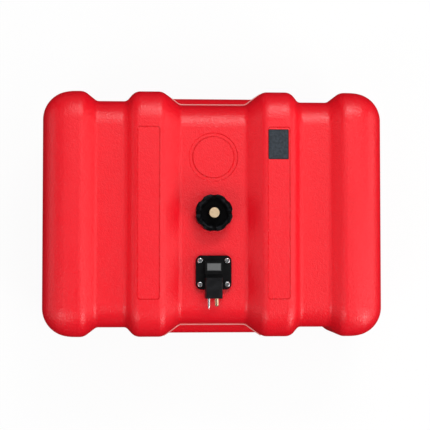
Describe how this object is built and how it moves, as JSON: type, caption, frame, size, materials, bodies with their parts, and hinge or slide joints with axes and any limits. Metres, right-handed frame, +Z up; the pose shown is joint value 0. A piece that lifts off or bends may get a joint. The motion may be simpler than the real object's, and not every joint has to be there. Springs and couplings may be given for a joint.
{
  "type": "outboard fuel tank",
  "caption": "Low ribbed portable fuel tank with a vented screw cap, a float gauge and a hose connector on top, and hand-holds in its long sides.",
  "frame": {"origin": "middle of the base, on the surface that the tank stands on", "axes": "+X along the tank's length, +Y away from the hose connector, +Z up; the connector's pins point along -Y"},
  "size_m": [0.5964, 0.432, 0.2496],
  "materials": {
    "red_polyethylene": "satin moulded",
    "black_plastic": "satin moulded",
    "black_rubber": "matt",
    "brass": "turned",
    "stainless_steel": "bright",
    "grey_lens": "smoked clear",
    "white_plastic": "plain",
    "float_foam": "closed-cell"
  },
  "bodies": {
    "tank": {"tank_shell": "red_polyethylene", "gauge_inserts": "brass", "gauge_flange": "black_plastic", "flange_gasket": "black_rubber", "flange_screws": "stainless_steel", "gauge_window": "grey_lens", "gauge_frame": "black_plastic", "pickup_tube": "black_plastic", "pickup_strainer": "white_plastic", "tube_seal": "black_rubber", "connector_block": "black_plastic", "fuel_nipple": "brass", "nipple_seal": "black_rubber", "check_spring": "stainless_steel", "locating_pin": "stainless_steel"},
    "cap_carriage": {"cap_gasket": "black_rubber"},
    "cap": {"filler_cap": "black_plastic", "vent_bush": "brass"},
    "vent_carriage": {"vent_seal": "black_rubber"},
    "vent": {"vent_screw": "brass"},
    "float": {"gauge_float": "float_foam"},
    "dial": {"gauge_dial": "white_plastic", "gauge_spiral": "stainless_steel"},
    "plunger": {"check_plunger": "brass"}
  },
  "joints": [
    {"name": "cap_lift", "type": "slide", "parent": "tank", "child": "cap_carriage", "axis": [0, 0, 1], "range_m": [0, 0.08]},
    {"name": "cap_turn", "type": "hinge", "parent": "cap_carriage", "child": "cap", "pos_m": [0, 0, 0.23], "axis": [0, 0, 1], "range_deg": [0, 450]},
    {"name": "vent_rise", "type": "slide", "parent": "cap", "child": "vent_carriage", "axis": [0, 0, 1], "range_m": [0, 0.002]},
    {"name": "vent_turn", "type": "hinge", "parent": "vent_carriage", "child": "vent", "pos_m": [0, 0, 0.24], "axis": [0, 0, 1], "range_deg": [0, 720]},
    {"name": "float_slide", "type": "slide", "parent": "tank", "child": "float", "axis": [0, 0, 1], "range_m": [0, 0.155]},
    {"name": "dial_turn", "type": "hinge", "parent": "tank", "child": "dial", "pos_m": [0, -0.0986, 0.22], "axis": [0, 0, 1], "range_deg": [-145, 0]},
    {"name": "valve_slide", "type": "slide", "parent": "tank", "child": "plunger", "axis": [0, 1, 0], "range_m": [0, 0.002], "stiffness_N_per_m": 400, "springref_m": -0.004, "deforming": ["check_spring"]}
  ],
  "couplings": [
    {"joint": "vent_turn", "follows": "vent_rise", "rad_per_m": 6283.2},
    {"joint": "dial_turn", "follows": "float_slide", "rad_per_m": -16.111}
  ]
}
